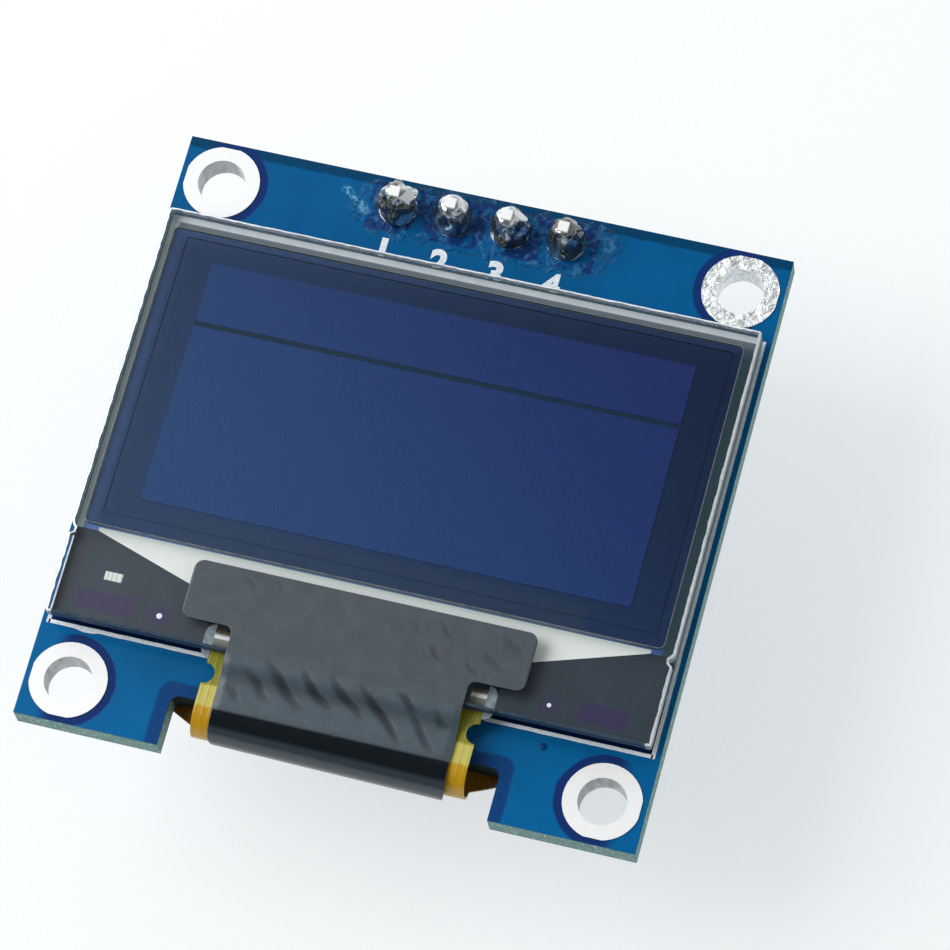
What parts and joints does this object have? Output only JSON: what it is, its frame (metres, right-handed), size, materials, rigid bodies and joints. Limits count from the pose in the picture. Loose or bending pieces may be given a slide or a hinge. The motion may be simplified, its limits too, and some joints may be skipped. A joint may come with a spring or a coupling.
{
  "type": "small oled module",
  "caption": "Small square display board: a glass panel on a blue circuit board, a folded flexible circuit round its lower edge, corner mounting holes and a pin header.",
  "frame": {"origin": "centre of the four mounting holes on the board's rear face", "axes": "+Z out of the display's face; +Y along the board's height, towards the pin header; +X to the right seen from the front"},
  "size_m": [0.0274, 0.0276, 0.0116],
  "materials": {
    "board": "glossy blue solder mask over glass-fibre laminate",
    "tinned_copper": "bright tin over copper",
    "gilt_copper": "thin gold over copper",
    "header_plastic": "black moulded plastic",
    "pin_metal": "square drawn wire, thinly plated",
    "solder": "shiny reflowed solder",
    "adhesive": "black double-sided foam",
    "cap_glass": "clear rear glass with cut edges",
    "getter": "drying film",
    "seal_resin": "pale cured resin",
    "cathode": "dark layers behind the glass",
    "pixels": "unlit blue pixel rows",
    "electrode": "dark grey printed film",
    "leads": "pale metal leads",
    "front_glass": "clear glass with ground edges",
    "polarizer": "glossy grey polarizing film",
    "silicon": "bare chip",
    "flex": "amber polyimide over copper",
    "resin": "cloudy cured resin",
    "tape": "black plastic tape, slightly wrinkled",
    "resistor_body": "black glazed chip",
    "capacitor_body": "tan ceramic chip",
    "package_plastic": "black moulded package"
  },
  "bodies": {
    "root": {"pcb": "board", "mount_lining_1": "tinned_copper", "mount_lining_2": "tinned_copper", "mount_lining_3": "tinned_copper", "mount_lining_4": "tinned_copper", "header_pad_1": "tinned_copper", "header_pad_2": "tinned_copper", "header_pad_3": "tinned_copper", "header_pad_4": "tinned_copper", "header_body": "header_plastic", "header_pin_1": "pin_metal", "header_pin_2": "pin_metal", "header_pin_3": "pin_metal", "header_pin_4": "pin_metal", "solder_joint_1": "solder", "solder_joint_2": "solder", "solder_joint_3": "solder", "solder_joint_4": "solder", "panel_adhesive": "adhesive", "cap_glass": "cap_glass", "getter_film": "getter", "seal_frame": "seal_resin", "cathode_film": "cathode", "upper_pixels": "pixels", "lower_pixels": "pixels", "electrode_film": "electrode", "fan_leads": "leads", "substrate_glass": "front_glass", "polarizer": "polarizer", "driver_chip": "silicon", "flex_circuit": "flex", "flex_mark_left": "tinned_copper", "flex_mark_right": "tinned_copper", "resin_bead_left": "resin", "resin_bead_right": "resin", "cover_tape": "tape", "flex_lands": "gilt_copper", "flex_solder": "solder", "chip_lands": "gilt_copper", "chip_terminals": "solder", "resistor_1": "resistor_body", "resistor_2": "resistor_body", "resistor_3": "resistor_body", "resistor_4": "resistor_body", "resistor_5": "resistor_body", "capacitor_1": "capacitor_body", "capacitor_2": "capacitor_body", "capacitor_3": "capacitor_body", "capacitor_4": "capacitor_body", "capacitor_5": "capacitor_body", "capacitor_6": "capacitor_body", "capacitor_7": "capacitor_body", "capacitor_8": "capacitor_body", "regulator_body": "package_plastic", "regulator_leads": "tinned_copper"}
  },
  "joints": []
}
